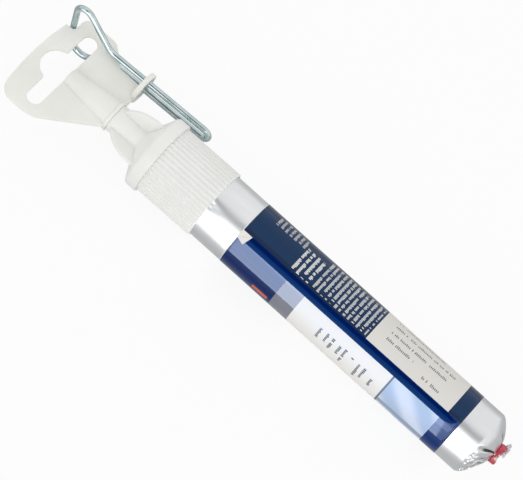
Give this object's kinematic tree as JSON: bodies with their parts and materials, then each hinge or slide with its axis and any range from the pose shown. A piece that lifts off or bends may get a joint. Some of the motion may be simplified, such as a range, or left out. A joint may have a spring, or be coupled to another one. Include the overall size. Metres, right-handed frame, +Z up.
{
  "type": "caulk tube",
  "caption": "Soft foil sealant pack with a clipped tail, ribbed finned nozzle head, push-on hanging cap with a hook slot, and a bent wire winding key carried on the cap.",
  "frame": {"origin": "on the surface that the pack lies on, below the middle of its length", "axes": "+X along the pack towards its clipped tail, +Y towards the winding key, +Z up"},
  "size_m": [0.2114, 0.0438, 0.0286],
  "materials": {
    "foil": "bright, lightly crumpled",
    "label_film": "printed, clear-laminated",
    "clip_red": "lacquered, crimped",
    "head_plastic": "satin moulded",
    "cap_plastic": "satin moulded",
    "plated_wire": "bright zinc plate"
  },
  "bodies": {
    "pack": {"foil_pack": "foil", "label": "label_film", "tail_clip": "clip_red", "nozzle_head": "head_plastic"},
    "cap": {"hanger_cap": "cap_plastic"},
    "key": {"winding_key": "plated_wire"}
  },
  "joints": [
    {"name": "cap_pull", "type": "slide", "parent": "pack", "child": "cap", "axis": [-1, 0, 0], "range_m": [0, 0.03]},
    {"name": "key_pull", "type": "slide", "parent": "cap", "child": "key", "axis": [-0.9995, -0.0302, 0], "range_m": [0, 0.032]}
  ]
}
